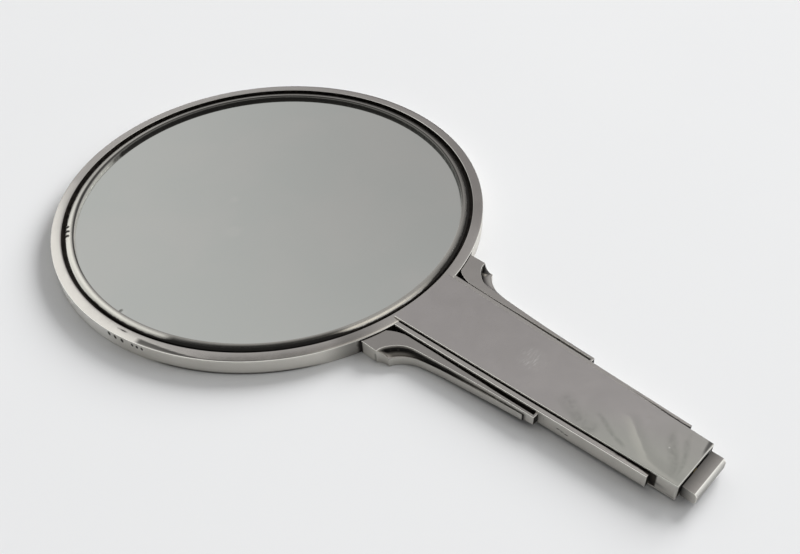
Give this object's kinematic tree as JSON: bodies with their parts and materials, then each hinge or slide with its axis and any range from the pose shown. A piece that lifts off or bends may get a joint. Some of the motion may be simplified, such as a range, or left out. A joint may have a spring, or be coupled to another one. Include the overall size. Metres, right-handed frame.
{
  "type": "hand mirror",
  "caption": "Round hand mirror in polished silver, framed glass in a bevelled rim, tapering box handle flanked by rails and stepped, swept shoulders.",
  "frame": {"origin": "centre of the round head on its resting plane", "axes": "+Z out of the glass, handle along -Y, +X to the right when facing the glass with the handle down"},
  "size_m": [0.15, 0.2487, 0.0066],
  "materials": {
    "polished_silver": "hand-polished silver with fine wear scratches and dark patina in the recesses",
    "bezel_silver": "burnished silver, slightly softer than the rim",
    "oxidised_silver": "blackened silver in the grooves",
    "mirror_glass": "polished plate glass with a faint green cast",
    "silvering": "metallic coating",
    "card": "grey-brown board",
    "felt": "pressed wool felt",
    "brass": "plain machined brass",
    "core_wood": "close-grained hardwood"
  },
  "bodies": {
    "root": {"rim_band": "polished_silver", "seat_ring": "oxidised_silver", "bezel_ring": "bezel_silver", "mirror_glass": "mirror_glass", "mirror_silvering": "silvering", "backing_card": "card", "felt_pad": "felt", "head_back_plate": "polished_silver", "handle_front_plate": "polished_silver", "handle_back_plate": "polished_silver", "handle_side_left": "polished_silver", "handle_side_right": "polished_silver", "handle_end_wall": "polished_silver", "handle_tang": "brass", "handle_core": "core_wood", "end_block": "polished_silver", "end_spigot": "brass", "inner_rail_left": "polished_silver", "inner_rail_right": "polished_silver", "shoulder_upper_left": "polished_silver", "shoulder_upper_right": "polished_silver", "shoulder_lower_left": "polished_silver", "shoulder_lower_right": "polished_silver", "slot_web_left": "oxidised_silver", "slot_web_right": "oxidised_silver"}
  },
  "joints": []
}
